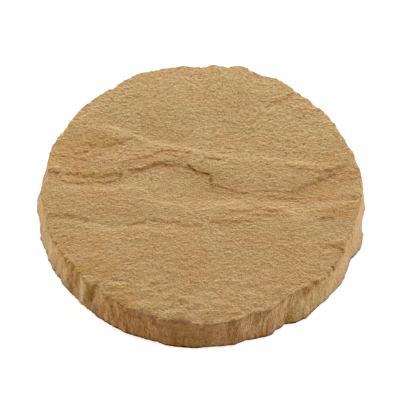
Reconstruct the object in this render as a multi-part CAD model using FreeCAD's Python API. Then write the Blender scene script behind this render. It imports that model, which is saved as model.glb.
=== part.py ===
"""A round garden stepping stone, wet-cast in concrete as one piece.

Its face copies a riven (split) sandstone bed: thin layers of the bed end in steps, called clefts here.
Its edge copies a fettled (hand-chipped) one: it leans outwards to the bed, struck into two ragged rows of
facets that meet at a waist, with larger chips knocked out of it.
The origin is at the middle of the bed, with +Z up and +Y towards the far side of the stone.
"""
import FreeCAD, Part
import math
import os
import random

# Driving dimensions, in millimetres
BASE_DIAMETER = 302.0       # across the foot of the edge, between its chips
TOP_DIAMETER = 287.5        # across the arris, between its chips
THICKNESS = 30.0            # from the bed to the mean level of the face
WAIST_HEIGHT = 17.0         # where the upper and the lower row of facets meet, on average
WAIST_SCATTER = 5.0         # how far the waist wanders up and down
FACET_DEPTH = 0.9           # how far a facet's corner stands in or out
CHIP_DEPTH = 4.5            # the deepest chip in the edge
RIM_WIDTH = 8.0             # the margin of the face that rolls down to the arris
RIM_DROP = 1.2              # how far it rolls down
CLEFT_HEIGHT = 2.4          # the tallest step between two layers of the face
CLEFT_RUN = 2.6             # half the width of a step's slope
CLEFT_REACH = 16.0          # how far from a step its lift has mostly died away
SWELL_HEIGHT = 0.5          # the face's long, shallow waves, above and below its mean level
SWELL_LENGTH = 105.0        # from crest to crest of those waves

# How fine the riven sheet and the struck facets are
SHEET_CELLS = 80            # spaces between the points across the riven sheet
EDGE_FACETS = 100           # facets in each row round the edge
FACET_SHIFT = 0.3           # how far a facet's corner is shifted along the edge, in shares of a facet

# Chips at the arris, the waist and the foot: angle and half-width in degrees, and share of CHIP_DEPTH.
# A negative share is a lump that stands proud.
ARRIS_CHIPS = [
    (3, 8, -0.4), (23, 2, 0.2), (37, 3, 0.15), (47, 3, 0.2), (58, 4, -0.45), (68, 2, 0.25), (75, 4, -0.65),
    (85, 3, -0.3), (92, 3, 0.75), (104, 3, -0.1), (115, 4, -0.45), (130, 4, 0.15), (150, 3, 0.25), (160, 5, -0.4),
    (175, 4, 0.7), (184, 2, -0.5), (193, 4, 0.2), (219, 5, 0.4), (230.5, 2.5, 0.5), (238, 3, 0.4), (249, 4, -0.15),
    (257, 3, -0.25), (262, 2, 0.3), (273, 3, -0.35), (289, 2, 0.2), (304, 7, 0.7), (318, 4, -0.4),
    (334, 2, 0.4), (344, 5, 0.45),
]
WAIST_CHIPS = [
    (20, 5, 0.3), (52, 4, 0.4), (80, 5, 0.35), (103, 4, 0.3), (131, 5, 0.4), (160, 5, 0.35), (210, 3, 0.25),
    (226, 2, -0.15), (230, 2, 0.35), (234, 2, -0.2), (249, 6, 0.3), (266, 5, 0.25), (289, 2, 0.1),
    (301, 3, 0.25), (312, 4, 0.3), (330, 3, 0.25),
]
FOOT_CHIPS = [
    (20, 5, 0.3), (44, 3, 0.25), (58, 4, 0.5), (84, 6, 0.3), (112, 4, 0.6), (147, 6, 0.35), (168, 4, 0.7),
    (189, 3, 0.3), (201, 3, 0.25), (222, 5, 0.3), (237, 3, -0.2), (273, 4, 0.2), (286, 4, 0.3),
    (293, 2, -0.2), (299, 2.5, 0.9), (306, 2, -0.2), (334, 3, 0.55), (341, 3, -0.2), (352, 4, 0.6),
]

# Clefts of the face: share of CLEFT_HEIGHT that the face climbs on going over the line from the
# near side to the far side, then the line's points from left to right, in shares of the top radius.
CLEFTS = {
    "layer_front": (1.0, [
        (-1.02, 0.10), (-0.82, 0.07), (-0.66, 0.07), (-0.51, 0.09), (-0.46, 0.14), (-0.31, 0.16),
        (-0.13, 0.17), (-0.03, 0.11), (0.05, 0.07), (0.12, -0.01), (0.31, -0.06), (0.57, -0.06),
        (0.73, 0.03), (0.86, 0.09), (1.02, 0.11),
    ]),
    "layer_back": (-0.55, [
        (-0.86, 0.51), (-0.64, 0.47), (-0.38, 0.38), (-0.10, 0.28), (0.10, 0.24), (0.49, 0.20),
        (0.73, 0.16), (1.02, 0.19),
    ]),
    "valley_front": (-0.75, [
        (-1.02, 0.02), (-0.73, -0.02), (-0.56, -0.03), (-0.40, -0.02), (-0.30, -0.12), (-0.10, -0.14),
        (0.03, -0.17), (0.28, -0.12), (0.52, -0.14), (0.62, -0.24), (0.76, -0.15), (1.02, -0.12),
    ]),
    "groove_back": (0.4, [
        (-1.02, -0.20), (-0.72, -0.25), (-0.44, -0.29), (-0.15, -0.30), (0.14, -0.29), (0.37, -0.26),
    ]),
    "groove_front": (-0.5, [
        (-0.75, -0.27), (-0.54, -0.33), (-0.38, -0.32), (-0.16, -0.32), (0.04, -0.33),
    ]),
    "left_hollow": (0.45, [
        (-0.84, 0.43), (-0.68, 0.35), (-0.55, 0.33), (-0.44, 0.39),
    ]),
    "right_hollow": (0.4, [
        (0.66, -0.21), (0.76, -0.26), (0.92, -0.27),
    ]),
    "far_ridge": (-0.3, [
        (0.22, 0.59), (0.45, 0.61), (0.62, 0.66), (0.75, 0.72),
    ]),
}
CLEFT_FADE = 0.18           # share of a cleft's line over which it comes in at one end and dies out at the other

BASE_RADIUS = BASE_DIAMETER / 2
TOP_RADIUS = TOP_DIAMETER / 2
chance = random.Random(4)   # the same scatter of facets in every build


def smooth(t):
    """0 below 0, 1 above 1, and an S-shaped climb between."""
    t = min(max(t, 0.0), 1.0)
    return t * t * (3 - 2 * t)


def scooped(radius, chips, angle):
    """An outline's radius at an angle in degrees, with its chips taken out."""
    for middle, half_width, share in chips:
        away = abs((angle - middle + 180) % 360 - 180) / half_width
        radius -= share * CHIP_DEPTH * smooth(1.5 - away)
    return radius


def slope_radius(angle, height):
    """The edge's radius at an angle in degrees and a height, on the straight slope from the foot to the arris."""
    foot = scooped(BASE_RADIUS, FOOT_CHIPS, angle)
    arris = scooped(TOP_RADIUS, ARRIS_CHIPS, angle)
    return foot + (arris - foot) * height / THICKNESS


def waist_radius(angle, height):
    """The same, with the chips of the waist taken out."""
    return scooped(slope_radius(angle, height), WAIST_CHIPS, angle)


def from_line(x, y, points):
    """Distance from a line of points, positive on its far side, and the share of the line passed there."""
    lengths = [math.dist(a, b) for a, b in zip(points, points[1:])]
    passed, nearest = 0.0, None
    for (ax, ay), (bx, by), length in zip(points, points[1:], lengths):
        ux, uy = (bx - ax) / length, (by - ay) / length
        along = min(max((x - ax) * ux + (y - ay) * uy, 0.0), length)
        away = math.hypot(x - ax - along * ux, y - ay - along * uy)
        if nearest is None or away < nearest[0]:
            side = math.copysign(1.0, ux * (y - ay) - uy * (x - ax))
            nearest = (away, side, passed + along)
        passed += length
    away, side, here = nearest
    return away * side, here / passed


def cleft_height(x, y, share, points):
    """How far one cleft lifts or lowers the face at a point: a step whose lift dies away on both sides."""
    placed = [(px * TOP_RADIUS, py * TOP_RADIUS) for px, py in points]
    away, here = from_line(x, y, placed)
    strength = smooth(here / CLEFT_FADE) * smooth((1 - here) / CLEFT_FADE)
    lift = 0.5 * math.tanh(away / CLEFT_RUN) * math.exp(-((away / CLEFT_REACH) ** 2))
    return share * CLEFT_HEIGHT * strength * lift


def face_height(x, y):
    """The riven face's height above the bed."""
    turn = 2 * math.pi / SWELL_LENGTH
    swell = SWELL_HEIGHT * math.sin(turn * (0.5 * x + y)) * math.cos(turn * (0.8 * x - 0.3 * y))
    clefts = sum(cleft_height(x, y, share, points) for share, points in CLEFTS.values())
    inwards = TOP_RADIUS - math.hypot(x, y)
    roll = RIM_DROP * (1 - smooth(inwards / RIM_WIDTH)) ** 2
    return THICKNESS + swell + clefts - roll


def struck_outline(radius_at, height, scatter):
    """A closed outline through the corners of the facets, at a height that wanders by the scatter."""
    corners = []
    for i in range(EDGE_FACETS):
        angle = 360 / EDGE_FACETS * (i + FACET_SHIFT * chance.uniform(-1, 1))
        level = height + scatter * chance.uniform(-1, 1)
        radius = radius_at(angle, level) + FACET_DEPTH * chance.uniform(-1, 1)
        turn = math.radians(angle)
        corners.append(FreeCAD.Vector(radius * math.cos(turn), radius * math.sin(turn), level))
    return Part.makePolygon(corners + corners[:1])


def edge_body(height):
    """The fettled edge as a solid plug, from the bed up past the face."""
    foot = struck_outline(slope_radius, 0, 0)
    waist = struck_outline(waist_radius, WAIST_HEIGHT, WAIST_SCATTER)
    past_arris = struck_outline(slope_radius, height, 0)
    return Part.makeLoft([foot, waist, past_arris], True, True)


def riven_block(depth):
    """A block under the riven face, wider than the stone and as deep as given."""
    half = 1.06 * BASE_RADIUS
    pitch = 2 * half / SHEET_CELLS
    places = [i * pitch - half for i in range(SHEET_CELLS + 1)]
    sheet = Part.BSplineSurface()
    sheet.interpolate([[face_height(x, y) for y in places] for x in places], -half, pitch, -half, pitch)
    return sheet.toShape().extrude(FreeCAD.Vector(0, 0, -depth))


def stepping_stone():
    """The whole stone: the edge's plug with everything above the riven face taken off."""
    past_face = THICKNESS + 2 * (CLEFT_HEIGHT + SWELL_HEIGHT)
    stone = edge_body(past_face).common(riven_block(2 * past_face))
    (solid,) = stone.Solids
    return solid


os.makedirs("parts", exist_ok=True)
solid = stepping_stone()
solid.exportStep("parts/stepping_stone.step")
box = solid.BoundBox
print(f"valid {solid.isValid()}, {solid.Volume / 1e6:.4f} litres, {len(solid.Faces)} faces")
print(f"x {box.XMin:.2f} to {box.XMax:.2f}, y {box.YMin:.2f} to {box.YMax:.2f}, z {box.ZMin:.2f} to {box.ZMax:.2f}")
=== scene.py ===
import math

import bpy
import numpy as np
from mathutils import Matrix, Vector, noise
from mathutils.bvhtree import BVHTree


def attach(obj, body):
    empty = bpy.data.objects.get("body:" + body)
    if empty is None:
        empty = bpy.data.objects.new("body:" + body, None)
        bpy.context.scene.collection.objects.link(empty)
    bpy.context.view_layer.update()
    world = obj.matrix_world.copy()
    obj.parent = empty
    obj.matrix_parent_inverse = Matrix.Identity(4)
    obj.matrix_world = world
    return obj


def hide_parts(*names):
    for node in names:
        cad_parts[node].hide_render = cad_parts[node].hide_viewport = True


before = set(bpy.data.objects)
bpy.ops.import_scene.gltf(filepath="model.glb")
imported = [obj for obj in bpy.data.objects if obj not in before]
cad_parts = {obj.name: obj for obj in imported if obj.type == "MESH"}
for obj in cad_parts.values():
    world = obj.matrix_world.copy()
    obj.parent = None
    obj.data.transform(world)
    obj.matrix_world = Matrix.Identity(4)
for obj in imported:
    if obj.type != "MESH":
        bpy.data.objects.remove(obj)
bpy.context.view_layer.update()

MM = 0.001
NODE = "stepping_stone"

# How fine the skin is
FACE_RINGS = 144            # rings from the face's middle to the arris; ring k has 6 k vertices
RIM_COUNT = 6 * FACE_RINGS  # vertices round the arris, and in each row of the edge
EDGE_ROWS = 32              # rows from the arris down to the foot
BASE_BLUR = 75              # how often the solid's face is averaged before the sharp relief is put on it

# Rings of the bed, in shares of the foot's radius; each has half the vertices of the one outside it
BED_RINGS = (0.985, 0.955, 0.89, 0.75, 0.42)

# How the skin is read off the solid
FACE_SLOPE = 0.6            # upward part of a normal over which a facet belongs to the face
BED_SLOPE = -0.9            # upward part of a normal under which a facet belongs to the bed
RAY_HEIGHT = 1.0            # where the rays down to the face start, in metres
RAY_REACH = 0.3             # how far out the rays in to the edge start, in metres
RAY_FOOT = 0.05             # how low those rays go
FACE_MISS = 4               # a ray down that ends this far under the arris has missed the face
EDGE_RADIUS = 147           # mean radius of the edge, for lengths along it
EDGE_MIDDLE = 15            # half the edge's height

# How the relief fades at the arris and at the foot
ARRIS_FADE = 4.0            # how far the face's relief goes on down the edge, and the edge's into the face
ARRIS_WEAR = 0.8            # how wide the arris is worn between its chips
FOOT_ROUND = 0.7            # how far the foot is rounded
FOOT_KEEP = 3               # the height under which the relief's lift fades out, down to the foot
OUTWARDS = 0.9              # how far the edge's relief stands proud of the solid, on average

# Forms that the relief is made of
NOISE_STEP = 17.3           # how far apart two patterns of noise are read
LAYER_COUNT = 3.2           # layers that one unit of the slow noise is cut into
LAYER_HEIGHT = 0.4
ROLLED_ANGLE = 256          # the middle of the rim that rolls down to the arris, in degrees
ROLLED_LENGTH = 48          # half of its length
ROLLED_DEPTH = 3.5          # how far into the face it goes
CALM_ANGLE = 262            # the middle of the edge's calmer front, in degrees
CALM_LENGTH = 55            # half of its length
HUMP = (-25, 5, 32, 15)     # the face's hump, painted paler and greener as light: place, and half-sizes along and across

# How often the relief is averaged to find its hollows, which get painted shade, and the line between face and
# edge to soften it
FACE_HOLLOWS = 14
EDGE_HOLLOWS = 4
SIDE_BLUR = 2

# Where the edge's colour and its painted shade change
FOOT_SHADE = 2.0            # how far up the edge the painted contact shadow along the foot goes
LOW_SHADE = 12.0            # how far up the edge is a little darker
FRONT_ANGLE = 95            # the middle of the edge's front, painted redder and darker as shade, in degrees clockwise from +X

# Sharp clefts of the face: height that the face climbs on going over the line from the near side to the
# far side, the width of the step's slope, how far its lift reaches, and the line from left to right
CLEFTS = {
    "layer_left_end": (1.0, 0.8, 6, [(-143, 18), (-138, 16.5), (-134, 14.5), (-129, 13)]),
    "layer_left": (0.62, 1.1, 6, [
        (-130, 13), (-120, 13), (-112, 12), (-104, 11), (-97, 9.5), (-88, 10.5), (-80, 12), (-69, 13.5),
    ]),
    "layer_left_under": (0.68, 0.8, 5, [
        (-127, 12), (-129, 6), (-124, 3.5), (-112, 2.5), (-98, 3), (-84, 4), (-72, 6),
    ]),
    "layer_mid": (0.7, 0.7, 5, [
        (-71, 19.5), (-67, 17), (-62, 17), (-56, 17.5), (-50, 19), (-45, 22.5), (-41, 23.5), (-35, 24),
        (-29, 22.5), (-22, 22.5), (-16, 24.5),
    ]),
    "layer_mid_upper": (0.4, 0.7, 4, [(-70, 25), (-60, 24), (-48, 24), (-40, 26), (-30, 26.5), (-21, 26)]),
    "left_cross": (0.45, 0.5, 3, [(-70, 29), (-71, 20), (-71.5, 12), (-72.5, 1)]),
    "crack": (0.9, 0.5, 6, [
        (-14, 24.5), (-11.5, 22), (-9.5, 19), (-6.5, 17), (-3, 14), (1.5, 13), (6.5, 11.5), (9.5, 10),
    ]),
    "crack_pit": (0.4, 0.7, 3, [(7, 11), (8.5, 8), (9, 5), (10.5, 1.5)]),
    "crack_tail": (0.3, 0.6, 3, [(9.5, 3), (10.5, -1), (10.5, -8)]),
    "crack_turn": (0.25, 0.8, 5, [(7, 9), (8, 5), (11, 2), (16, -1), (21, -3), (30, -6)]),
    "mid_dash": (0.4, 0.6, 3, [(-1, 27), (4.5, 29.5), (9, 29), (14.5, 28.5), (19, 27.5)]),
    "layer_right": (0.4, 0.8, 3, [
        (12, 2), (18, -2), (28, -6), (38, -9), (43, -8.5), (48, -7), (55, -6), (61, -6.5), (68, -6.5),
        (74, -7.5), (81, -7.5), (87, -6.5), (91, -4.5),
    ]),
    "layer_right_base": (-0.8, 3.0, 9, [(10, 1), (30, -6), (50, -7), (70, -7), (95, -6)]),
    "ridge_right": (-0.35, 1.8, 7, [(0, -17), (12, -18.5), (24, -17.5), (38, -16), (54, -15)]),
    "layer_far_right": (0.55, 0.8, 6, [
        (80, -9.5), (87, -6.5), (93, -2.5), (100, 2), (108, 5), (114, 8), (121, 11), (126, 14),
    ]),
    "second_layer": (0.5, 0.6, 4, [
        (-74, 24.5), (-67.5, 27), (-62, 28.5), (-55.5, 29.5), (-49, 31.5), (-44.5, 34), (-40, 37.5),
        (-33.5, 38.5), (-27, 39), (-19.5, 37.5), (-12, 36.5), (-4, 34),
    ]),
    "second_layer_under": (0.4, 0.7, 4, [(-33, 33), (-27, 34.5), (-22, 32), (-15, 29.5)]),
    "right_layer": (0.45, 0.8, 5, [
        (74, 23.5), (81, 22), (88, 19), (97, 17.5), (106, 16), (116, 15.5), (126, 11.5),
    ]),
    "right_layer_upper": (0.5, 0.7, 5, [(110, 17), (120, 17.5), (127, 19.5), (136, 23.5)]),
    "right_under": (0.35, 0.8, 5, [(56, -11), (66, -14), (76, -15), (90, -14.5), (100, -15), (112, -15)]),
    "left_hollow": (0.35, 0.8, 6, [
        (-113, 48), (-100, 45.5), (-92, 44), (-84, 45.5), (-76, 48), (-69, 52), (-58, 56),
    ]),
    "left_dash": (0.8, 0.8, 4, [(-118, 35), (-111, 37), (-104, 39)]),
    "left_dash_low": (0.5, 0.8, 4, [(-130, 34), (-120, 31.5), (-112, 29.5), (-102, 29)]),
    "left_dash_mid": (0.5, 0.8, 4, [(-103, 34), (-96, 35.5), (-88, 35)]),
    "groove_left": (0.4, 0.8, 6, [
        (-142, -33), (-130, -32.5), (-122, -33), (-113, -35.5), (-106, -36.5), (-95, -36.5),
    ]),
    "groove_mid": (0.5, 0.8, 5, [(-68, -44.5), (-61, -42.5), (-56, -40.5), (-49, -41)]),
    "groove_mid_right": (0.4, 0.9, 5, [(-48, -38), (-38, -40), (-22, -41), (-14, -44), (4, -45)]),
    "groove_right": (0.45, 0.8, 6, [
        (2, -42), (14, -41), (24, -41.5), (34, -40.5), (42, -39), (50, -39), (60, -41),
    ]),
    "shelf_right": (0.6, 0.8, 5, [
        (20, -30), (34, -29.5), (44, -28.5), (50, -26), (56, -28), (66, -28.5), (78, -27),
    ]),
    "shelf_right_low": (0.5, 0.8, 5, [(36, -34), (50, -33), (60, -33.5), (70, -33), (83, -31)]),
    "right_notch": (0.45, 0.6, 5, [(103, -38.5), (108, -37), (113, -35.8), (120, -36.5)]),
    "right_rim": (0.4, 0.9, 5, [(103, -66), (112, -65.5), (120, -66), (129, -62)]),
    "far_step": (0.4, 0.9, 6, [(70, 95), (77, 99), (84, 105), (90, 111)]),
    "layer_back": (-0.5, 1.4, 7, [
        (-116, 72), (-92, 68), (-80, 65), (-70, 61), (-60, 57), (-48, 51), (-35, 47), (-15, 41), (15, 34),
        (40, 30), (70, 29), (85, 26), (105, 23), (128, 26),
    ]),
    "valley_front": (-0.28, 1.4, 6, [
        (-136, 1), (-117, -1), (-105, -2.5), (-80, -4), (-67, 1), (-57, -2.5), (-47, -10), (-42, -17.5),
        (-25, -21), (-15, -20), (5, -24), (20, -21), (40, -17.5), (57, -19), (75, -20), (85, -32),
        (92, -36),
    ]),
    "valley_front_right": (-0.45, 1.3, 6, [(95, -28), (105, -24), (112, -21.5), (125, -19), (145, -17)]),
    "groove_front": (-0.5, 1.4, 7, [
        (-137, -39), (-112, -40), (-98, -43), (-86, -47), (-78, -49), (-60, -45.5), (-46, -47), (-34, -50),
    ]),
    "far_ridge": (-0.4, 1.1, 7, [(60, 86), (75, 88), (85, 93), (96, 96), (107, 95)]),
    "near_ridge": (-0.35, 1.1, 7, [(-45, -134), (-12, -131), (20, -132)]),
    "near_left_ridge": (-0.35, 1.1, 7, [(-105, -97), (-75, -104), (-42, -109)]),
}
CLEFT_FADE = 0.14           # share of a line over which it comes in at one end and dies out at the other

# Clefts with a thin line of painted shadow along their foot, and how dark it is
SHADOW_SEAMS = {
    "crack": 0.75, "crack_pit": 0.5, "crack_tail": 0.3, "layer_right": 0.45, "mid_dash": 0.4,
    "layer_mid": 0.12, "second_layer": 0.2, "right_notch": 0.25, "left_dash": 0.25, "left_dash_mid": 0.25,
    "layer_left_under": 0.12, "groove_mid": 0.25,
}
SHADOW_SEAM_WANDER = 0.4           # how far the line of a cleft with painted shadow wanders, as a share of how far the other lines do
SHADOW_SEAM_NEAR = 0.2             # how far from its line the painted shadow is fully dark
SHADOW_SEAM_FAR = 1.0              # how far from its line it ends
NO_SHADOW_SEAM = 4.0               # a distance from any line of painted shadow that counts as far away

# Lines where the near side is the higher one; painted light makes their lit slopes paler and greener
RIDGES = (
    "layer_back", "valley_front", "valley_front_right", "ridge_right", "groove_front", "far_ridge",
    "near_ridge", "near_left_ridge",
)

# Red-brown zones of the face, partly the stone's own colour and partly painted shade on slopes below the
# steps: place, half-sizes along and across, and strength
RED_AND_SHADE_ZONES = [
    (121, 14, 26, 16, 0.9), (122, -18, 22, 14, 0.7), (70, -16, 40, 9, 0.3), (-112, 32, 26, 14, 0.5),
    (-60, 26, 22, 9, 0.6), (-100, 8, 32, 7, 0.4), (80, -86, 26, 18, 0.45), (-8, -82, 16, 26, 0.5),
    (-52, -56, 40, 7, 0.5), (60, -60, 26, 9, 0.4), (-108, -9, 32, 7, 0.6), (13, 3, 6, 9, 0.8),
    (28, -5, 20, 7, 0.55), (62, -8, 30, 6, 0.4), (97, 0, 16, 9, 0.6),
]

# Painted shade of the face, in dark dashes along the clefts and soft places on slopes turned from the lights:
# place, half-sizes along and across, and strength, which is negative for painted light, a pale place
FACE_SHADE_AND_LIGHT = [
    (109, -50, 24, 18, -0.35), (120, 12, 18, 14, 0.12), (-33, 50, 38, 9, 0.1), (-108, -10, 34, 6, 0.08),
    (-108, -63, 28, 10, 0.1), (121, -32, 20, 6, 0.25), (118, -65, 9, 3.5, 0.3), (123, -72, 3, 3, 0.6),
    (51, -26, 2.2, 1.6, 0.6), (68, -30.7, 2.5, 1.5, 0.4), (50, -4, 34, 8, -0.55),
    (8.9, 6, 2.2, 4, 0.8), (15.5, -0.5, 4, 1.8, 0.5), (28.5, -5, 4, 2.4, 0.5), (33, -9, 3, 1.3, 0.4),
    (15.5, -9.5, 3, 1.2, 0.4), (62, -6, 4, 1.5, 0.4), (83, -8.5, 3, 1.5, 0.5), (118, 11, 4, 2.5, 0.5),
    (108.5, 6.5, 2, 3, 0.4), (138.5, -13, 2.5, 3, 0.7), (-102, 45.5, 3, 1, 0.5), (-78, 48.5, 4, 1.2, 0.5),
    (-122, 43, 3, 1, 0.4), (-90, 60, 5, 2, 0.3), (-126, -78, 2.5, 2, 0.6), (-136.5, -55, 2, 4, 0.4),
    (-116.5, -94, 2.5, 2, 0.5),
]

# Ochre stains of the face: place, half-sizes along and across, and strength
OCHRE_PATCHES = [
    (-108, 48, 30, 16, 0.65), (-118, 27, 22, 12, 0.6), (-110, 8, 22, 9, 0.5), (-105, -18, 13, 7, 0.25),
    (-112, -64, 28, 12, 0.35), (-124, -78, 9, 18, 0.5), (-94, -88, 18, 15, 0.65), (-68, -121, 20, 14, 0.55),
    (103, -9, 14, 11, 0.55), (121, -31, 20, 8, 0.5), (118, 30, 10, 8, 0.35), (99, -66, 10, 11, 0.2),
    (-46, 74, 6, 7, 0.4), (-20, -118, 14, 6, 0.25), (-28, -95, 36, 28, 0.07), (88, 52, 10, 4, 0.3),
]

# Chips off the arris: angle in degrees, half-width along the arris and width of the broken slope
ARRIS_CHIPS = [
    (203.5, 2, 2.0), (206.7, 2.5, 2.4), (212, 2.5, 2.0), (214.5, 2, 2.2), (218.2, 3, 3.0), (222, 3, 2.4),
    (229.8, 3.5, 3.0), (236, 3, 1.4), (247, 6, 2.0), (254.5, 4, 1.8), (265, 6, 1.8), (299, 3, 2.0),
    (308, 3, 2.0), (313, 6, 3.0), (319, 4, 2.6), (322.3, 2.5, 2.8), (330.5, 3, 3.2), (12, 5, 2.4),
    (41, 6, 2.8), (71, 3, 2.6), (88, 6, 2.8), (126, 5, 2.8), (155, 6, 2.8),
]

# Lumps of the face at the near rim, over the edge: angle in degrees, half-width along the rim and height
RIM_LUMPS = [
    (245.5, 5, 0.8), (251, 4, 0.6), (256.5, 5, 0.9), (262.5, 4, -0.6), (269.5, 6, 0.8), (275.5, 5, 0.7),
    (283, 6, 0.4), (238, 4, 0.4),
]

# Pockets in the edge: angle in degrees, height, half-width, half-height and depth, which is negative
# for a rib
EDGE_POCKETS = [
    (210.3, 22, 1.3, 8, 0.6), (209.3, 7, 1.3, 8, 0.7), (218.5, 12, 2.5, 10, 0.5), (225.8, 14, 2.2, 13, -0.6),
    (229.4, 19, 3.8, 12, 0.9), (232, 8, 3, 7, 0.3), (246.5, 25.5, 8, 3.5, 0.9), (255, 25, 6, 3, 0.7),
    (266, 26.5, 10, 3.5, 0.5), (289, 22, 5, 9, -0.4), (300.5, 14, 3, 8, 0.4), (313.5, 24.5, 6, 2.5, 0.5),
    (16, 20, 6, 14, -0.8), (330.5, 26, 2, 4, 0.6), (335, 3, 7, 6, 1.2), (295.3, 2.5, 3.4, 6, 2.0),
    (274, 1, 9, 5, -0.8), (52, 14, 3, 9, 0.5), (80, 20, 3.5, 8, 0.6), (131, 18, 3, 9, 0.6),
    (160, 16, 4, 9, 0.5),
]

# Red-brown stains of the edge, with painted shade, darkest under the arris's overhangs: angle in degrees,
# height, half-width, half-height and strength, which is negative for a pale place, partly paler stone and
# partly painted light on lit ribs. The pale places come last.
EDGE_STAINS_AND_SHADE = [
    (229.4, 20, 4.0, 12, 0.1), (227.8, 18, 2.5, 12, 0.35), (232, 7, 5, 6, 0.7), (219.8, 13, 5, 12, 0.9),
    (210.3, 21, 1.3, 8, 0.6), (209.3, 7, 1.5, 8, 0.8), (206.7, 28, 2.5, 4, 0.6), (214.5, 27, 3, 4, 0.7),
    (218.2, 27, 3.5, 5, 0.9), (222, 22, 4, 6, 0.5), (242, 24, 6, 5, 0.1), (247, 25, 6, 3, 0.8),
    (254.5, 23.5, 5, 2.5, 0.8), (271, 24, 4, 3, 0.3), (281.5, 14, 6, 13, 0.55), (300, 17, 2.5, 6, 0.3),
    (309.3, 24.5, 9, 5, 1.0), (325, 26, 8, 5, 0.45), (340, 26, 6, 5, 0.3), (322.3, 28, 2.5, 3.5, 0.8),
    (330.5, 28, 3, 4, 0.9), (131, 18, 3, 8, 0.5), (80, 20, 3, 8, 0.5), (90, 15, 95, 40, 0.6),
    (205, 17, 14, 16, -1.0), (210.5, 10, 3, 9, -0.7), (224.8, 13, 2.1, 14, -1.4), (225.8, 6, 3, 5, -0.6),
    (237, 18, 5, 12, -0.4), (240, 25, 4, 4, -0.25), (214.5, 10, 4, 12, -0.6), (275.5, 24, 5, 4, -0.4),
    (287.5, 16, 8, 13, -0.5), (292.5, 24, 4, 4, -0.4), (295, 8, 4, 8, -0.7), (315, 15, 10, 9, -0.7),
    (310.5, 14, 5, 8, -0.35), (315.5, 25, 5, 4, -0.5),
]

# The material's grain: the heights of its bumps, in metres, and how close it lies along X, Y and Z.
# Its streaks run along X on the face, and up and down on the edge.
FINE_BUMP = 0.00034
COARSE_BUMP = 0.00067
FLUTE_BUMP = 0.0008
STREAK = (1.0, 1.2, 1.0)
FLUTE = (1.0, 1.0, 0.25)
FLUTE_LEAN = 0.3            # how far the edge's streaks lean away from the middle of the front

# Colours, and the tints that they are multiplied by; pairs are for the low and the high end of a noise
BUFF = ((0.464, 0.310, 0.173), (0.471, 0.330, 0.190))
MOTTLE_TINTS = ((0.91, 0.905, 0.895), (1.07, 1.075, 1.085))
GRAIN_TINTS = ((0.86, 0.852, 0.84), (1.12, 1.128, 1.14))
STRIPE_TINTS = ((0.87, 0.86, 0.835), (1.02, 1.04, 1.02))
BAND_TINTS = ((0.88, 0.865, 0.87), (1.13, 1.165, 1.15))
# Partly painted light: the greener buff is also laid on the hump and on lit ridges
GREEN_AND_LIT_TINT = (0.977, 1.027, 0.995)
# Partly painted shade: the redder colour of slopes below the steps, besides red-brown zones
RED_AND_SHADE_TINT = (0.97, 0.91, 0.89)
LOW_TINT = (0.93, 0.92, 0.97)
# Painted shade: the edge's front, turned from the lights, made redder and darker
FRONT_SHADE_TINT = (0.945, 0.87, 0.93)
# Stains, with painted shade under the arris's overhangs
STAIN_AND_SHADE_TINT = (0.7, 0.595, 0.595)
# Pale places, partly painted light on lit ribs
PALE_AND_LIT_TINT = (1.21, 1.285, 1.345)
OCHRE = (0.43, 0.265, 0.1)
# Painted shade in the hollows of the relief
HOLLOW_SHADE_BROWN = (0.39, 0.22, 0.17)
# Painted shadow along the foot of some steps
SEAM_SHADOW_BROWN = (0.24, 0.145, 0.105)
# Painted contact shadow along the foot
FOOT_SHADOW_BROWN = (0.04, 0.03, 0.03)

# Light and floor
WORLD_LIGHT = 0.46
FLOOR_GLOW = 0.56
FLOOR_GAP = 0.0002          # how far the floor lies under the bed, in metres
BLACK_LEVEL = 0.09          # what the view shows as black


def smooth(t):
    """0 below 0, 1 above 1, and an S-shaped climb between."""
    t = np.clip(t, 0, 1)
    return t * t * (3 - 2 * t)


def noise_field(points, sizes, place):
    """Smooth noise from about -1 to 1 at the points, with blobs of the sizes; place picks another pattern."""
    scaled = points / np.array(sizes) + NOISE_STEP * place
    return np.array([noise.noise(p) for p in scaled.tolist()])


def laid_flat(plan):
    """Points in plan as points at height 0, for the noise of the face."""
    return np.column_stack((plan, np.zeros(len(plan))))


def from_middle(points, x, y, wide, deep):
    """Square of the distance in plan from a place, in shares of the place's half-sizes."""
    return ((points[:, 0] - x) / wide) ** 2 + ((points[:, 1] - y) / deep) ** 2


def along_edge(angle, degrees):
    """Distance along the edge from the place at an angle in degrees."""
    turn = (angle - math.radians(degrees) + math.pi) % (2 * math.pi) - math.pi
    return EDGE_RADIUS * turn


def read_solid(solid):
    """The solid's ray tree, and its arris and foot as (angle, radius, height) columns sorted by angle."""
    mesh = solid.data
    corners = [solid.matrix_world @ v.co for v in mesh.vertices]
    tree = BVHTree.FromPolygons(corners, [tuple(p.vertices) for p in mesh.polygons])
    faces_at = {}
    for polygon in mesh.polygons:
        kind = "face" if polygon.normal.z > FACE_SLOPE else "bed" if polygon.normal.z < BED_SLOPE else "edge"
        for i in polygon.vertices:
            faces_at.setdefault(tuple(round(c, 6) for c in corners[i]), set()).add(kind)

    def line(kinds):
        rows = [(math.atan2(y, x), math.hypot(x, y) / MM, z / MM)
                for (x, y, z), there in faces_at.items() if kinds <= there]
        return np.array(sorted(rows)).T

    return tree, line({"face", "edge"}), line({"edge", "bed"})


def along(line, angles):
    """Radius and height of a line read from the solid, at angles."""
    at, radius, height = line
    turn = 2 * math.pi
    return np.interp(angles, at, radius, period=turn), np.interp(angles, at, height, period=turn)


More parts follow.
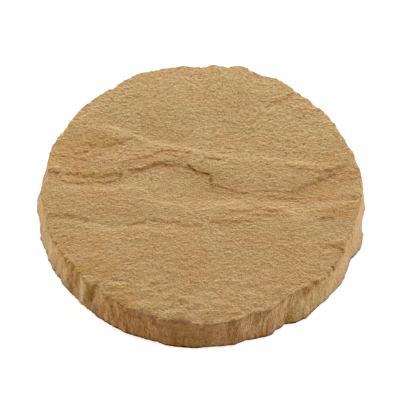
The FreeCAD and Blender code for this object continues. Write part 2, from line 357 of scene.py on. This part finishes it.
def face_grid(arris):
    """Points of the face's rings in plan, their distance from the arris, and the triangles."""
    angles, shares = [0.0], [0.0]
    for k in range(1, FACE_RINGS + 1):
        angles += [2 * math.pi * i / (6 * k) for i in range(6 * k)]
        shares += [k / FACE_RINGS] * (6 * k)
    angles, shares = np.array(angles), np.array(shares)
    radius = along(arris, angles)[0]
    plan = np.column_stack((np.cos(angles), np.sin(angles))) * (shares * radius)[:, None]
    triangles = []
    for k in range(1, FACE_RINGS + 1):
        outer = 1 + 3 * k * (k - 1)
        inner = 1 + 3 * (k - 1) * (k - 2) if k > 1 else 0
        for sector in range(6):
            for j in range(k):
                a = outer + sector * k + j
                b = outer + (sector * k + j + 1) % (6 * k)
                c = inner + (sector * (k - 1) + j) % max(6 * (k - 1), 1)
                triangles.append((a, b, c))
                if j < k - 1:
                    d = inner + (sector * (k - 1) + j + 1) % (6 * (k - 1))
                    triangles.append((c, b, d))
    return plan, radius * (1 - shares), triangles


def drop_to(tree, plan, otherwise):
    """Heights of the solid's face under points in plan."""
    heights = []
    for (x, y), spare in zip(plan.tolist(), otherwise.tolist()):
        hit = tree.ray_cast(Vector((x * MM, y * MM, RAY_HEIGHT)), Vector((0, 0, -1)))[0]
        heights.append(spare if hit is None or hit.z / MM < spare - FACE_MISS else hit.z / MM)
    return np.array(heights)


def edge_grid(tree, arris, foot):
    """Points of the edge's rows under the arris, and their drop below it."""
    angles = np.array([2 * math.pi * i / RIM_COUNT for i in range(RIM_COUNT)])
    top = along(arris, angles)[1]
    foot_radius = along(foot, angles)[0]
    points, drops = [], []
    for row in range(1, EDGE_ROWS + 1):
        share = row / EDGE_ROWS
        for angle, height, spare in zip(angles, top * (1 - share), foot_radius):
            out = Vector((math.cos(angle), math.sin(angle), 0))
            start = out * RAY_REACH + Vector((0, 0, max(height, RAY_FOOT) * MM))
            hit = tree.ray_cast(start, -out)[0]
            radius = spare if hit is None else math.hypot(hit.x, hit.y) / MM
            points.append((radius * out.x, radius * out.y, height))
        drops += (top * share).tolist()
    return np.array(points), np.array(drops)


def from_line(plan, points):
    """Distances from a line of points, positive on its far side, and the share of the line passed there."""
    nearest = np.full(len(plan), np.inf)
    signed = np.zeros(len(plan))
    passed_at = np.zeros(len(plan))
    passed = 0.0
    for start, end in zip(np.array(points[:-1], float), np.array(points[1:], float)):
        length = np.hypot(*(end - start))
        ux, uy = (end - start) / length
        dx, dy = (plan - start).T
        run = np.clip(dx * ux + dy * uy, 0, length)
        away = np.hypot(dx - run * ux, dy - run * uy)
        closer = away < nearest
        nearest = np.where(closer, away, nearest)
        signed = np.where(closer, np.copysign(away, ux * dy - uy * dx), signed)
        passed_at = np.where(closer, passed + run, passed_at)
        passed += length
    return signed, passed_at / passed


def cleft_relief(plan):
    """The sharp clefts: ragged steps along the lines, broken into dashes.

    Returns the relief, the red tint of painted shade below each step and of the red zones, the pale tint of
    painted light on each ridge, the distance from the nearest line of painted shadow and how dark that shadow
    is.
    """
    flat = laid_flat(plan)
    wander = np.column_stack([
        1.1 * noise_field(flat, (13, 9, 9), place) + 1.0 * noise_field(flat, (5, 4, 4), place + 2)
        + 0.9 * noise_field(flat, (2.4, 2.0, 2.0), place + 30)
        for place in (1, 2)
    ])
    strength = 1 + 0.7 * noise_field(flat, (18, 12, 12), 5) + 1.0 * noise_field(flat, (6, 4, 4), 6)
    strength = np.maximum(strength, 0.1)
    relief, red_and_shade, lit_ridge, dark = (np.zeros(len(plan)) for _ in range(4))
    shadow_seam = np.full(len(plan), NO_SHADOW_SEAM)
    for name, (climb, run, reach, points) in CLEFTS.items():
        away, here = from_line(plan + (SHADOW_SEAM_WANDER if name in SHADOW_SEAMS else 1.0) * wander, points)
        ends = smooth(here / CLEFT_FADE) * smooth((1 - here) / CLEFT_FADE)
        relief += climb * ends * strength * 0.5 * np.tanh(away / run) * np.exp(-((away / reach) ** 2))
        # Painted light along the ridges' lit slopes, and painted shade, a redder colour, below the other
        # steps
        if name in RIDGES:
            lit_ridge = np.maximum(lit_ridge, ends * np.exp(-((away / 4) ** 2)))
        else:
            red_and_shade = np.maximum(red_and_shade, min(abs(climb) + 0.3, 1) * ends * np.exp(-(((away + 0.8) / 3) ** 2)))
        # Painted shadow: a thin dark line along the foot of the step
        if name in SHADOW_SEAMS:
            closer = np.abs(away) < np.abs(shadow_seam)
            shadow_seam = np.where(closer, away, shadow_seam)
            darkness = SHADOW_SEAMS[name] * ends * np.clip(strength, 0.8, 1.1)
            dark = np.where(closer, darkness * smooth(2.6 - np.abs(away)), dark)
    ragged = plan + 4 * wander
    # Red zones: partly the stone's colour, partly painted shade
    for *zone, share in RED_AND_SHADE_ZONES:
        red_and_shade = np.maximum(red_and_shade, share * smooth(1.3 - 0.8 * from_middle(ragged, *zone)) * strength)
    return relief, red_and_shade, lit_ridge, shadow_seam, dark


def layer_relief(plan):
    """Thin layers of the split face: a slow, stretched noise cut into low, ragged and broken terraces."""
    flat = laid_flat(plan)
    level = (
        1.5 * noise_field(flat, (80, 24, 24), 7)
        + 0.5 * noise_field(flat, (22, 8, 8), 8)
        + 0.22 * noise_field(flat, (7, 3.2, 3.2), 9)
        + 0.12 * noise_field(flat, (2.8, 1.7, 1.7), 10)
    ) * LAYER_COUNT
    part = level - np.floor(level)
    broken = np.maximum(0.7 + 1.2 * noise_field(flat, (14, 7, 7), 14), 0)
    return LAYER_HEIGHT * broken * (smooth(part / 0.2) - part)


def pebble_relief(plan):
    """Pebbled grain of the split face: low bumps with creases between them, and pits; rougher at the back."""
    flat = laid_flat(plan)
    bumps = np.abs(noise_field(flat, (4.8, 3.8, 3.8), 11)) - 0.2
    pits = np.maximum(noise_field(flat, (3.8, 2.6, 2.6), 15) - 0.5, 0)
    return (0.62 + 0.58 * smooth((plan[:, 1] + 60) / 140)) * (
        0.36 * bumps
        + 0.2 * noise_field(flat, (2.5, 2.0, 2.0), 12)
        + 0.24 * noise_field(flat, (1.5, 1.3, 1.3), 13)
        - 1.3 * pits
    )


def rim_relief(plan, inwards):
    """Lumps and ripples of the face along its near rim, which rolls down to the arris."""
    angle = np.arctan2(plan[:, 1], plan[:, 0])
    flat = laid_flat(plan)
    near = smooth((-plan[:, 1] - 85) / 35)
    ripples = 0.45 * noise_field(flat, (11, 5.5, 5.5), 51) + 0.2 * noise_field(flat, (6, 3.5, 3.5), 52)
    relief = near * ripples
    rolled = np.exp(-((along_edge(angle, ROLLED_ANGLE) / ROLLED_LENGTH) ** 2))
    rolled *= 0.8 + 0.7 * noise_field(flat, (12, 12, 12), 56)
    relief -= rolled * np.exp(-((inwards / ROLLED_DEPTH) ** 2))
    for degrees, half_width, height in RIM_LUMPS:
        across = along_edge(angle, degrees) + 1.5 * noise_field(flat, (5, 5, 5), 53)
        relief += height * np.exp(-((across / half_width) ** 2) - (inwards / 5) ** 2)
    return relief


def scoops(points, sizes, place):
    """Hollows with sharp ridges between them, from about -0.3 in the hollows to 0.4 on the ridges."""
    scaled = points / np.array(sizes) + NOISE_STEP * place
    near = np.array([noise.voronoi(p)[0][0] for p in scaled.tolist()])
    return np.minimum(near, 0.85) ** 2 - 0.3


def edge_relief(points):
    """Scoops, pockets and grain of the fettled edge, outwards, and the strength of its stains and painted
    shade.
    """
    angle = np.arctan2(points[:, 1], points[:, 0])
    lean = points + np.column_stack([
        2.2 * noise_field(points, (14, 14, 12), place) + 0.8 * noise_field(points, (4, 4, 4), place + 4)
        for place in (20, 21, 22)
    ])

    def spots(places):
        total = np.zeros(len(points))
        for degrees, height, wide, tall, strength in places:
            across = along_edge(angle, degrees) + lean[:, 0] - points[:, 0]
            total += strength * np.exp(-((across / wide) ** 2) - ((lean[:, 2] - height) / tall) ** 2)
        return total

    front = np.exp(-((along_edge(angle, CALM_ANGLE) / CALM_LENGTH) ** 2))
    rough = 0.75 - 0.35 * np.cos(angle) - 0.2 * front + 0.3 * noise_field(points, (40, 40, 40), 23)
    relief = rough * (
        0.7 * scoops(lean, (13, 13, 26), 1)
        + 0.9 * scoops(lean, (6, 6, 14), 2)
        + 0.5 * noise_field(lean, (3.4, 3.4, 7), 28)
        + 0.35 * noise_field(lean, (2.0, 2.0, 4), 29)
    )
    grain = 0.28 * noise_field(points, (2.6, 2.6, 2.6), 24) + 0.26 * noise_field(points, (1.6, 1.6, 1.6), 25)
    grain *= np.minimum(0.45 + 0.6 * rough, 1)
    return OUTWARDS + relief - spots(EDGE_POCKETS) + grain, spots(EDGE_STAINS_AND_SHADE)


def round_wall(angle, height):
    """Points of an upright round wall as wide as the edge."""
    return np.column_stack((EDGE_RADIUS * np.cos(angle), EDGE_RADIUS * np.sin(angle), height))


def arris_chips(points):
    """How wide the arris is broken off, at the angle of each point."""
    angle = np.arctan2(points[:, 1], points[:, 0])
    rim = round_wall(angle, np.zeros(len(angle)))
    chips = ARRIS_WEAR + 1.4 * noise_field(rim, (6, 6, 6), 31) + 1.0 * noise_field(rim, (2.4, 2.4, 2.4), 32)
    for degrees, half_width, width in ARRIS_CHIPS:
        across = along_edge(angle, degrees) + 1.2 * noise_field(rim, (5, 5, 5), 33)
        chips = np.maximum(chips, width * (1 - (across / half_width) ** 2))
    return np.maximum(chips, 0.2)


def flute_place(points):
    """Where the edge's streaks are read: on an upright round wall, turned as far as the streaks lean."""
    angle = np.arctan2(points[:, 1], points[:, 0])
    lean = FLUTE_LEAN * np.clip(2 * np.cos(angle), -1, 1)
    return round_wall(angle - lean * (points[:, 2] - EDGE_MIDDLE) / EDGE_RADIUS, points[:, 2])


def ochre_stains(points):
    """Share of ochre in the colour, in ragged and broken patches."""
    ragged = points + np.column_stack([
        9 * noise_field(points, (22, 14, 14), place) + 5 * noise_field(points, (8, 5, 5), place + 2)
        for place in (41, 42, 47)
    ])
    share = np.zeros(len(points))
    for *patch, strength in OCHRE_PATCHES:
        share = np.maximum(share, strength * smooth(1.2 - 0.7 * from_middle(ragged, *patch)))
    return share * np.maximum(0.9 + 0.6 * noise_field(points, (11, 6, 6), 45), 0)


def face_tones(points):
    """How much painted shade darkens the face, in soft places; where negative, painted light makes it paler.
    """
    share = np.zeros(len(points))
    for *tone, strength in FACE_SHADE_AND_LIGHT:
        share += strength * np.exp(-from_middle(points, *tone))
    return share


def greenness(points):
    """Share of the greener buff in the colour: more of it far back, in soft patches, and on the hump as
    painted light.
    """
    hump = np.exp(-from_middle(points, *HUMP))
    return (
        0.5 + points[:, 1] / 400 + 0.5 * hump
        + 0.7 * noise_field(points, (44, 20, 20), 54) + 0.6 * noise_field(points, (16, 9, 9), 55)
    )


def strip(outer, inner):
    """Triangles between two closed rings of vertex numbers, the inner one with as many or half as many."""
    count = len(inner)
    triangles = []
    for j in range(count):
        k = (j + 1) % count
        if len(outer) == count:
            triangles += [(outer[j], inner[j], outer[k]), (outer[k], inner[j], inner[k])]
        else:
            a, b, c = outer[2 * j], outer[2 * j + 1], outer[(2 * j + 2) % len(outer)]
            triangles += [(a, inner[j], b), (b, inner[j], inner[k]), (b, inner[k], c)]
    return triangles


def bed(points, ring):
    """The points with those of the flat bed, whose rim is a ring of vertex numbers, and its triangles."""
    triangles = []
    outline = points[ring]
    for share in BED_RINGS:
        outline = outline[::2]
        inner = list(range(len(points), len(points) + len(outline)))
        points = np.vstack((points, outline * (share, share, 0)))
        triangles += strip(ring, inner)
        ring = inner
    middle = len(points)
    triangles += [(a, middle, b) for a, b in zip(ring, ring[1:] + ring[:1])]
    return np.vstack((points, [(0, 0, 0)])), triangles


def blurred(values, triangles, times):
    """Values at the vertices, each averaged with its neighbours so many times."""
    ends = np.array(triangles)
    a = np.concatenate((ends[:, 0], ends[:, 1], ends[:, 2]))
    b = np.concatenate((ends[:, 1], ends[:, 2], ends[:, 0]))
    count = np.bincount(a, minlength=len(values)) + np.bincount(b, minlength=len(values)) + 1
    for _ in range(times):
        total = values + np.bincount(a, values[b], len(values)) + np.bincount(b, values[a], len(values))
        values = total / count
    return values


def stone_object(points, triangles, skin):
    """A smooth mesh of the triangles, with the skin's values and the streaks' places as attributes."""
    mesh = bpy.data.meshes.new("stone")
    mesh.from_pydata((points * MM).tolist(), [], triangles)
    mesh.polygons.foreach_set("use_smooth", [True] * len(mesh.polygons))
    for name, values in skin.items():
        mesh.attributes.new(name, "FLOAT", "POINT").data.foreach_set("value", values.astype(np.float32))
    flute = mesh.attributes.new("flute", "FLOAT_VECTOR", "POINT")
    flute.data.foreach_set("vector", (flute_place(points) * MM).astype(np.float32).ravel())
    mesh.validate()
    stone = bpy.data.objects.new("stone", mesh)
    bpy.context.collection.objects.link(stone)
    return stone


def make_stone(solid):
    """The stone's skin as one closed mesh, with what its material needs to know at each vertex."""
    tree, arris, foot = read_solid(solid)
    plan, inwards, triangles = face_grid(arris)
    rim_height = along(arris, np.arctan2(plan[:, 1], plan[:, 0]))[1]
    heights = blurred(drop_to(tree, plan, rim_height), triangles, BASE_BLUR)
    edge, drops = edge_grid(tree, arris, foot)
    points = np.vstack((np.column_stack((plan, heights)), edge))
    first_edge = len(plan)
    above_bed = slice(0, len(points))

    # Relief: upwards on the face, outwards on the edge, and both at the arris between them
    from_arris = np.concatenate((inwards, drops))
    on_face = np.arange(len(points)) < first_edge
    fade = 1 - smooth(from_arris / ARRIS_FADE)
    up_share = np.where(on_face, 1.0, fade)
    out_share = np.where(on_face, fade, 1.0)
    level = points[:, :2].copy()
    clefts, red_and_shade, lit_ridge, shadow_seam, dark = cleft_relief(level)
    up = up_share * (clefts + layer_relief(level) + pebble_relief(level) + rim_relief(level, from_arris))
    out = np.zeros(len(points))
    edge_stains_and_shade = np.zeros(len(points))
    near_edge = out_share > 0
    relief, edge_stains_and_shade[near_edge] = edge_relief(points[near_edge])
    out[near_edge] = out_share[near_edge] * relief
    wear = 0.5 * np.maximum(arris_chips(points) - from_arris, 0)
    foot_wear = np.where(on_face, 0, FOOT_ROUND * np.exp(-((points[:, 2] / FOOT_ROUND) ** 2)))
    ochre = ochre_stains(points)
    outward = level / np.maximum(np.hypot(*level.T), 1e-6)[:, None]
    points[:, :2] += outward * (out - wear - foot_wear)[:, None]
    points[:, 2] += (up - wear) * smooth(points[:, 2] / FOOT_KEEP)

    # Triangles of the edge's rows and the bed
    starts = [first_edge + (i - 1) * RIM_COUNT for i in range(EDGE_ROWS + 1)]
    rows = [list(range(start, start + RIM_COUNT)) for start in starts]
    for upper, lower in zip(rows, rows[1:]):
        triangles += strip(upper, lower)
    points, bed_triangles = bed(points, rows[-1])
    triangles += bed_triangles

    # What the material needs to know
    names = (
        "hollow_shade", "ochre", "side", "front", "stain_and_shade", "foot", "low", "green_and_lit", "red_and_shade", "shadow_seam", "dark", "streaky",
    )
    skin = {name: np.zeros(len(points)) for name in names}
    # Painted shade: the relief's hollows, found by averaging it, are made darker and browner
    lift = np.zeros(len(points))
    lift[above_bed] = up
    skin["hollow_shade"] = blurred(lift, triangles, FACE_HOLLOWS) - lift
    lift[above_bed] = out - OUTWARDS * out_share
    skin["hollow_shade"] += blurred(lift, triangles, EDGE_HOLLOWS) - lift
    skin["ochre"][above_bed] = ochre
    # Painted shade: redder below the steps, and in red zones that are partly the stone's colour
    skin["red_and_shade"][above_bed] = up_share * red_and_shade
    # Painted shadow: thin dark lines along the feet of some steps
    skin["shadow_seam"][above_bed] = shadow_seam
    skin["dark"][above_bed] = up_share * dark
    skin["side"][above_bed] = np.where(on_face, smooth(1.3 - from_arris), 1)
    skin["side"] = blurred(skin["side"], triangles, SIDE_BLUR)
    # Painted shade: the edge's front, turned from the lights, made redder and darker
    from_front = np.abs(np.degrees(np.arctan2(points[:, 1], points[:, 0])) + FRONT_ANGLE)
    skin["front"] = skin["side"] * smooth(1.6 - from_front / 30)
    skin["streaky"] = skin["side"] * (1 - 0.8 * smooth(1.4 - from_front / 20)) * smooth(2.2 - from_front / 30)
    side = skin["side"][above_bed]
    # Stains and painted shade of the edge; painted shade and painted light of the face
    skin["stain_and_shade"][above_bed] = side * edge_stains_and_shade + (1 - side) * face_tones(points[above_bed])
    # Greener buff, partly painted light on the hump and on lit ridges
    skin["green_and_lit"] = greenness(points)
    skin["green_and_lit"][above_bed] += 0.5 * lit_ridge
    skin["low"][first_edge:] = np.exp(-((points[first_edge:, 2] / LOW_SHADE) ** 2))
    # Painted contact shadow: a near-black line along the foot
    skin["foot"][first_edge:] = np.exp(-((points[first_edge:, 2] / FOOT_SHADE) ** 2))
    return stone_object(points, triangles, skin)


def stone_material():
    """Buff cast stone: mottled colour, with painted shade in its hollows, below its steps, at its front and
    foot, and painted light on its ridges; matt, with a sandy grain.
    """
    material = bpy.data.materials.new("cast_stone_buff")
    material.use_nodes = True
    nodes, links = material.node_tree.nodes, material.node_tree.links
    shader = nodes["Principled BSDF"]
    shader.inputs["Roughness"].default_value = 0.9
    shader.inputs["Specular IOR Level"].default_value = 0.2

    def plug(value, socket):
        """Link a node's output to a socket, or set a number or a colour on it."""
        if isinstance(value, bpy.types.NodeSocket):
            links.new(value, socket)
        else:
            socket.default_value = (*value, 1) if isinstance(value, tuple) else value

    def attribute(name, output):
        node = nodes.new("ShaderNodeAttribute")
        node.attribute_name = name
        return node.outputs[output]

    on_face = nodes.new("ShaderNodeTexCoord").outputs["Object"]
    on_wall = attribute("flute", "Vector")

    def noise_node(per_metre, detail, roughness=0.5, stretch=(1, 1, 1), at=on_face):
        node = nodes.new("ShaderNodeTexNoise")
        node.inputs["Scale"].default_value = per_metre
        node.inputs["Detail"].default_value = detail
        node.inputs["Roughness"].default_value = roughness
        squeezed = nodes.new("ShaderNodeVectorMath")
        squeezed.operation = "MULTIPLY"
        squeezed.inputs[1].default_value = stretch
        links.new(at, squeezed.inputs[0])
        links.new(squeezed.outputs["Vector"], node.inputs["Vector"])
        return node.outputs["Fac"]

    def ramp(value, low, high, colours):
        """A colour that goes from the first to the second as a value goes from low to high."""
        node = nodes.new("ShaderNodeValToRGB")
        for element, at, colour in zip(node.color_ramp.elements, (low, high), colours):
            element.position = at
            element.color = (*colour, 1)
        links.new(value, node.inputs["Fac"])
        return node.outputs["Color"]

    def mix(blend, share, first, second):
        node = nodes.new("ShaderNodeMix")
        node.data_type = "RGBA"
        node.blend_type = blend
        for name, kind, value in (("Factor", "VALUE", share), ("A", "RGBA", first), ("B", "RGBA", second)):
            plug(value, next(i for i in node.inputs if i.name == name and i.type == kind))
        return next(o for o in node.outputs if o.type == "RGBA")

    def maths(operation, *values):
        node = nodes.new("ShaderNodeMath")
        node.operation = operation
        for value, socket in zip(values, node.inputs):
            plug(value, socket)
        return node.outputs["Value"]

    def part(value, low, high):
        """Share of the way from low to high that a value has gone, from 0 to 1."""
        node = nodes.new("ShaderNodeMapRange")
        node.inputs["From Min"].default_value = low
        node.inputs["From Max"].default_value = high
        links.new(value, node.inputs["Value"])
        return node.outputs["Result"]

    def skin(name, low, high):
        return part(attribute(name, "Fac"), low, high)

    def bump(value, height, *under):
        node = nodes.new("ShaderNodeBump")
        node.inputs["Strength"].default_value = 1.0
        node.inputs["Distance"].default_value = height
        links.new(value, node.inputs["Height"])
        for normal in under:
            links.new(normal, node.inputs["Normal"])
        return node.outputs["Normal"]

    streaks = ramp(noise_node(45, 4, 0.6, STREAK), 0.35, 0.65, BUFF)
    mottle = ramp(noise_node(260, 3, 0.6, STREAK), 0.3, 0.7, MOTTLE_TINTS)
    grains = ramp(noise_node(850, 0), 0.3, 0.7, GRAIN_TINTS)
    stripes = ramp(noise_node(360, 2, 0.65, FLUTE, on_wall), 0.35, 0.65, STRIPE_TINTS)
    bands = ramp(noise_node(170, 1, 0.5, FLUTE, on_wall), 0.36, 0.64, BAND_TINTS)
    side = skin("side", 0.0, 1.0)
    near_shadow_seam = part(maths("ABSOLUTE", attribute("shadow_seam", "Fac")), SHADOW_SEAM_FAR, SHADOW_SEAM_NEAR)
    layers = (
        ("MULTIPLY", 1.0, mottle),
        ("MULTIPLY", 1.0, grains),
        # Partly painted light: greener buff on the hump and lit ridges
        ("MULTIPLY", skin("green_and_lit", 0.0, 1.0), GREEN_AND_LIT_TINT),
        ("MIX", skin("ochre", 0.0, 2.0), OCHRE),
        # Partly painted shade: redder below the steps
        ("MULTIPLY", skin("red_and_shade", 0.0, 1.0), RED_AND_SHADE_TINT),
        ("MULTIPLY", side, stripes),
        ("MULTIPLY", skin("streaky", 0.0, 1.0), bands),
        ("MULTIPLY", skin("low", 0.0, 1.0), LOW_TINT),
        # Painted shade on the edge's front
        ("MULTIPLY", skin("front", 0.0, 1.0), FRONT_SHADE_TINT),
        # Stains and painted shade darken; pale places are partly painted light
        ("MULTIPLY", skin("stain_and_shade", 0.0, 1.0), STAIN_AND_SHADE_TINT),
        ("MULTIPLY", skin("stain_and_shade", 0.0, -1.5), PALE_AND_LIT_TINT),
        # Painted shade in the hollows
        ("MIX", skin("hollow_shade", -0.1, 0.85), HOLLOW_SHADE_BROWN),
        # Painted shadow along the feet of steps
        ("MIX", maths("MULTIPLY", near_shadow_seam, skin("dark", 0.0, 1.0)), SEAM_SHADOW_BROWN),
        # Painted contact shadow along the foot
        ("MIX", skin("foot", 0.0, 1.05), FOOT_SHADOW_BROWN),
    )
    colour = streaks
    for blend, share, tint in layers:
        colour = mix(blend, share, colour, tint)
    links.new(colour, shader.inputs["Base Color"])

    flutes = maths("SUBTRACT", noise_node(560, 1, 0.6, FLUTE, on_wall), 0.5)
    fine = bump(noise_node(850, 0, 0.5, STREAK), FINE_BUMP)
    coarse = bump(noise_node(420, 1, 0.65, STREAK), COARSE_BUMP, fine)
    links.new(bump(maths("MULTIPLY", flutes, side), FLUTE_BUMP, coarse), shader.inputs["Normal"])
    return material


def make_floor():
    """A plain pale floor."""
    bpy.ops.mesh.primitive_plane_add(size=12, location=(0, 0, -FLOOR_GAP))
    floor = bpy.context.object
    floor.name = "floor"
    material = bpy.data.materials.new("floor_white")
    material.use_nodes = True
    shader = material.node_tree.nodes["Principled BSDF"]
    shader.inputs["Base Color"].default_value = (0.75, 0.75, 0.745, 1)
    shader.inputs["Roughness"].default_value = 0.8
    shader.inputs["Emission Color"].default_value = (1, 1, 1, 1)
    shader.inputs["Emission Strength"].default_value = FLOOR_GLOW
    floor.data.materials.append(material)


def area_light(name, place, size, power):
    """A soft square light that looks at the stone."""
    data = bpy.data.lights.new(name, "AREA")
    data.size = size
    data.energy = power
    light = bpy.data.objects.new(name, data)
    light.location = place
    light.rotation_euler = (-Vector(place)).to_track_quat("-Z", "Y").to_euler()
    light.visible_camera = False
    bpy.context.collection.objects.link(light)


def make_lights():
    """Soft studio light, mostly from above and behind, with one soft light on each side."""
    area_light("light_back", (0.0, 2.2, 0.7), 1.2, 80)
    area_light("light_left", (-2.0, 0.2, 0.62), 1.0, 25.3)
    area_light("light_right", (2.0, -0.1, 0.62), 1.0, 30)
    world = bpy.data.worlds.new("studio")
    world.use_nodes = True
    background = world.node_tree.nodes["Background"]
    background.inputs["Color"].default_value = (1, 1, 1, 1)
    background.inputs["Strength"].default_value = WORLD_LIGHT
    bpy.context.scene.world = world
    look = bpy.context.scene.view_settings
    look.view_transform = "Standard"
    look.use_curve_mapping = True
    look.curve_mapping.black_level = (BLACK_LEVEL, BLACK_LEVEL, BLACK_LEVEL)
    look.curve_mapping.update()


def make_camera():
    """The photograph's view: from the front, well above; lengths are in metres."""
    distance, elevation = 1.2, math.radians(55.1)
    target = Vector((-0.0011, 0, 0.0058))
    data = bpy.data.cameras.new("camera")
    data.lens = 116.8
    data.sensor_width = 36
    camera = bpy.data.objects.new("camera", data)
    back = Vector((0, -math.cos(elevation), math.sin(elevation)))
    camera.location = target + back * distance
    camera.rotation_euler = (-back).to_track_quat("-Z", "Y").to_euler()
    bpy.context.collection.objects.link(camera)
    bpy.context.scene.camera = camera


stone = make_stone(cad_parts[NODE])
stone.data.materials.append(stone_material())
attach(stone, "root")
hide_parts(NODE)
make_floor()
make_lights()
make_camera()
